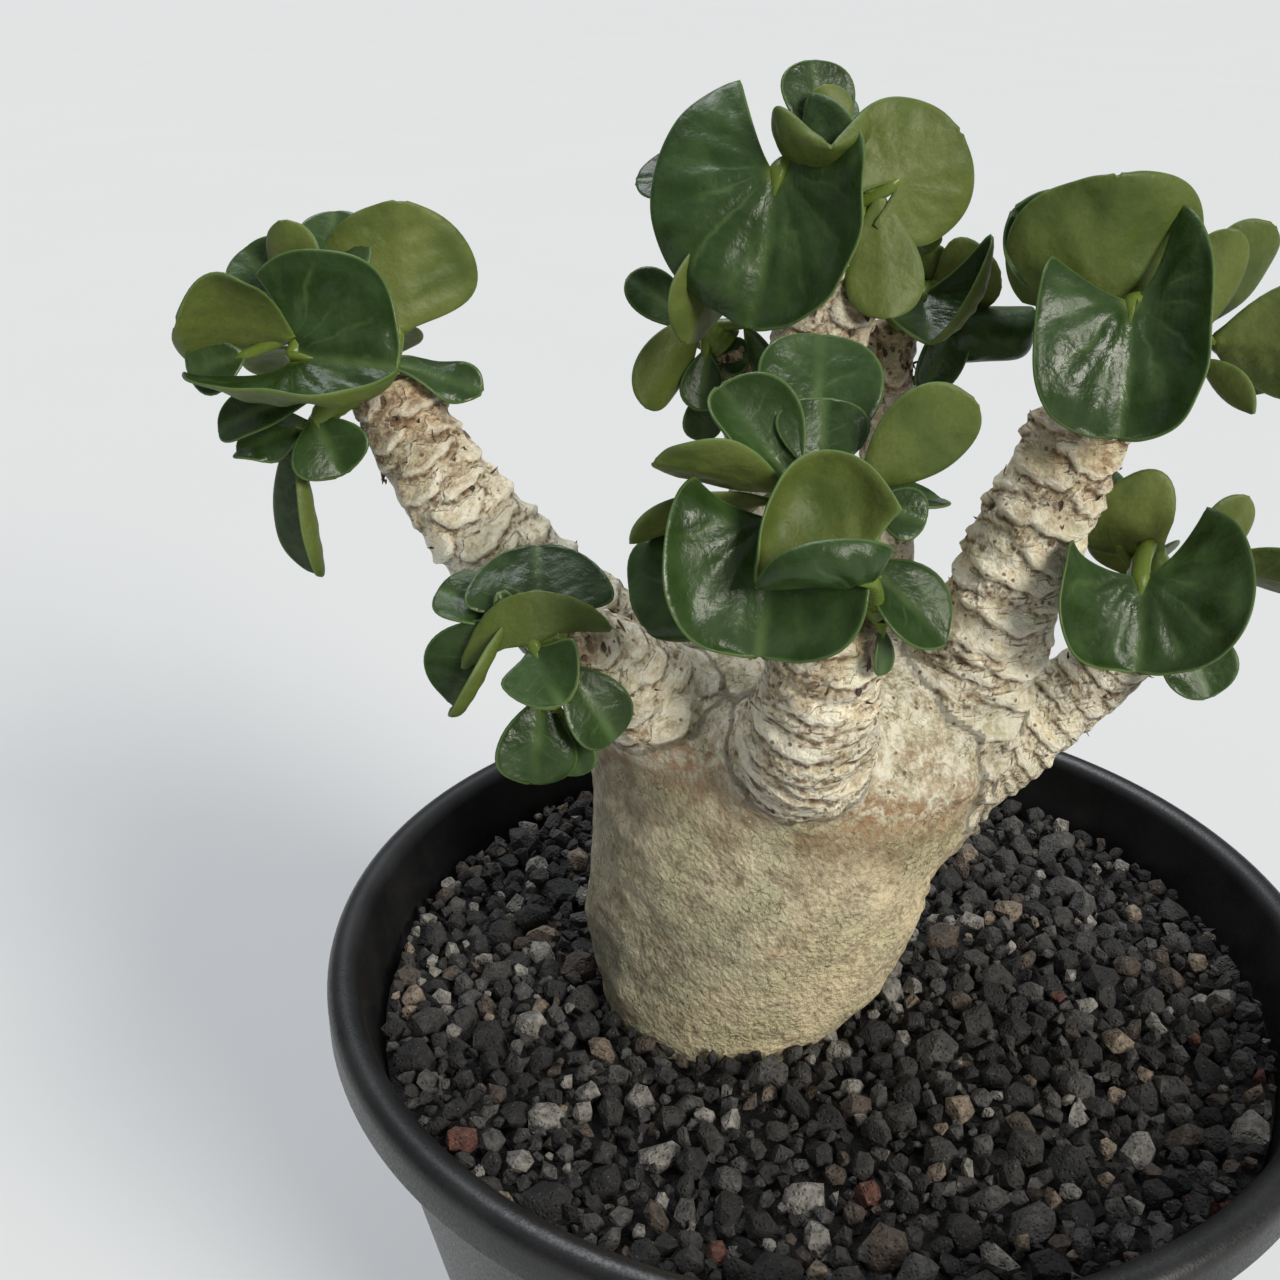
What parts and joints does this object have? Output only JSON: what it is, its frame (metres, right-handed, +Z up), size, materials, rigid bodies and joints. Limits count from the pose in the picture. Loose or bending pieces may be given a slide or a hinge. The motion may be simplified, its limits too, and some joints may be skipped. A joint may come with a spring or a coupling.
{
  "type": "potted adenium plant",
  "caption": "Swollen-trunked succulent with several bark branches, each topped by a rosette of curled glossy leaves, standing in lava gravel in a round black nursery pot.",
  "frame": {"origin": "centre of the pot's base, on the surface that it stands on", "axes": "+Z up through the pot, +X to the right and +Y to the back as the plant is looked at from its front"},
  "size_m": [0.2294, 0.21, 0.3219],
  "materials": {
    "pot_plastic": "satin",
    "potting_mix": "matte",
    "lava_gravel": "matte",
    "bark": "matte",
    "leaf": "satin"
  },
  "bodies": {
    "root": {"pot": "pot_plastic", "potting_mix": "potting_mix", "gravel": "lava_gravel", "caudex": "bark", "rosette_left_high": "leaf", "rosette_left_low": "leaf", "rosette_centre_front": "leaf", "rosette_back_tall": "leaf", "rosette_back_right": "leaf", "rosette_back_left": "leaf", "rosette_right_high": "leaf", "rosette_right_low": "leaf"}
  },
  "joints": []
}
